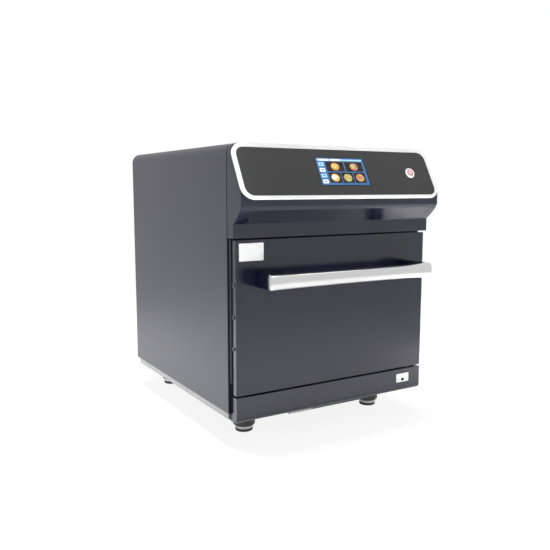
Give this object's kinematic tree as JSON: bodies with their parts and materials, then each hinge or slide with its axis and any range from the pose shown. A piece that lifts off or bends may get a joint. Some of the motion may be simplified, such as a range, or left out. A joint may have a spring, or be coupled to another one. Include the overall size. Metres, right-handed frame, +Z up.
{
  "type": "countertop speed oven",
  "caption": "Box-shaped countertop oven with a drop-down door under a sloped touch control head, a bar handle, a cavity with a rack and fan, and levelling feet.",
  "frame": {"origin": "on the worktop under the middle of the oven", "axes": "+X to the oven's right as seen by someone facing it, -Y to the front, +Z up"},
  "size_m": [0.5, 0.647, 0.6123],
  "materials": {
    "grey_paint": "satin metallic grey paint",
    "dark_paint": "semi-gloss dark grey metallic paint",
    "bright_steel": "satin bright steel",
    "steel": "plain steel sheet",
    "chrome": "polished",
    "white_gloss": "gloss white",
    "white_matte": "matte white",
    "dark_glass": "smoked, smooth and opaque",
    "display_blue": "lit colour display under a smooth cover",
    "button_rose": "lit button cap",
    "black_plastic": "moulded black",
    "rubber": "matte silicone",
    "fibre": "fibre blanket",
    "ceramic": "coated honeycomb",
    "board_green": "circuit board",
    "copper": "laminated core and wound coil"
  },
  "bodies": {
    "body": {"outer_cover": "grey_paint", "control_housing": "dark_paint", "lower_panel": "dark_paint", "base_chassis": "bright_steel", "rear_panel": "steel", "front_frame": "steel", "cavity": "steel", "jet_plate": "steel", "waveguide": "steel", "magnetron": "steel", "fan_motor": "steel", "heater": "steel", "hinge_bracket_left": "steel", "hinge_bracket_right": "steel", "rack_runner_left": "steel", "rack_runner_right": "steel", "rack": "chrome", "button_ring": "chrome", "bezel_frame": "white_gloss", "port_plate": "white_matte", "glass_panel": "dark_glass", "touch_screen": "display_blue", "inlet_gland": "black_plastic", "cooling_fan_frame": "black_plastic", "port_plug": "black_plastic", "foot_body_front_left": "black_plastic", "foot_body_front_right": "black_plastic", "foot_body_rear_left": "black_plastic", "foot_body_rear_right": "black_plastic", "insulation": "fibre", "catalyst": "ceramic", "control_board": "board_green", "transformer": "copper"},
    "door": {"door_shell": "dark_paint", "door_inner_panel": "steel", "door_gasket": "rubber", "badge_plate": "white_matte", "handle_bar": "bright_steel", "handle_bracket_left": "black_plastic", "handle_bracket_right": "black_plastic", "handle_screw_left": "steel", "handle_screw_right": "steel", "hinge_arm_left": "steel", "hinge_arm_right": "steel", "door_side_screw_left_1": "steel", "door_side_screw_left_2": "steel", "door_side_screw_left_3": "steel", "door_side_screw_right_1": "steel", "door_side_screw_right_2": "steel", "door_side_screw_right_3": "steel"},
    "button": {"power_button": "button_rose"},
    "filter": {"air_filter": "steel"},
    "convection_wheel": {"convection_fan": "steel", "fan_shaft": "steel"},
    "cooling_wheel": {"cooling_fan_rotor": "black_plastic"},
    "foot_front_left": {"foot_adjuster_front_left": "bright_steel"},
    "foot_front_right": {"foot_adjuster_front_right": "bright_steel"},
    "foot_rear_left": {"foot_adjuster_rear_left": "bright_steel"},
    "foot_rear_right": {"foot_adjuster_rear_right": "bright_steel"}
  },
  "joints": [
    {"name": "door_hinge", "type": "hinge", "parent": "body", "child": "door", "pos_m": [0, -0.24065, 0.125], "axis": [1, 0, 0], "range_deg": [0, 90], "stiffness_Nm_per_rad": 4, "springref_deg": -25.78},
    {"name": "power_button_press", "type": "slide", "parent": "body", "child": "button", "axis": [0, 0.8788, -0.4771], "range_m": [0, 0.002], "stiffness_N_per_m": 600, "springref_m": -0.001},
    {"name": "air_filter_slide", "type": "slide", "parent": "body", "child": "filter", "axis": [0, -1, 0], "range_m": [0, 0.19]},
    {"name": "convection_fan_spin", "type": "hinge", "parent": "body", "child": "convection_wheel", "pos_m": [0, 0.14675, 0.269], "axis": [0, 1, 0], "continuous": true},
    {"name": "cooling_fan_spin", "type": "hinge", "parent": "body", "child": "cooling_wheel", "pos_m": [0.15, 0.25765, 0.1208], "axis": [0, 1, 0], "continuous": true},
    {"name": "foot_front_left_level", "type": "slide", "parent": "body", "child": "foot_front_left", "axis": [0, 0, 1], "range_m": [-0.006, 0.003]},
    {"name": "foot_front_right_level", "type": "slide", "parent": "body", "child": "foot_front_right", "axis": [0, 0, 1], "range_m": [-0.006, 0.003]},
    {"name": "foot_rear_left_level", "type": "slide", "parent": "body", "child": "foot_rear_left", "axis": [0, 0, 1], "range_m": [-0.006, 0.003]},
    {"name": "foot_rear_right_level", "type": "slide", "parent": "body", "child": "foot_rear_right", "axis": [0, 0, 1], "range_m": [-0.006, 0.003]}
  ]
}
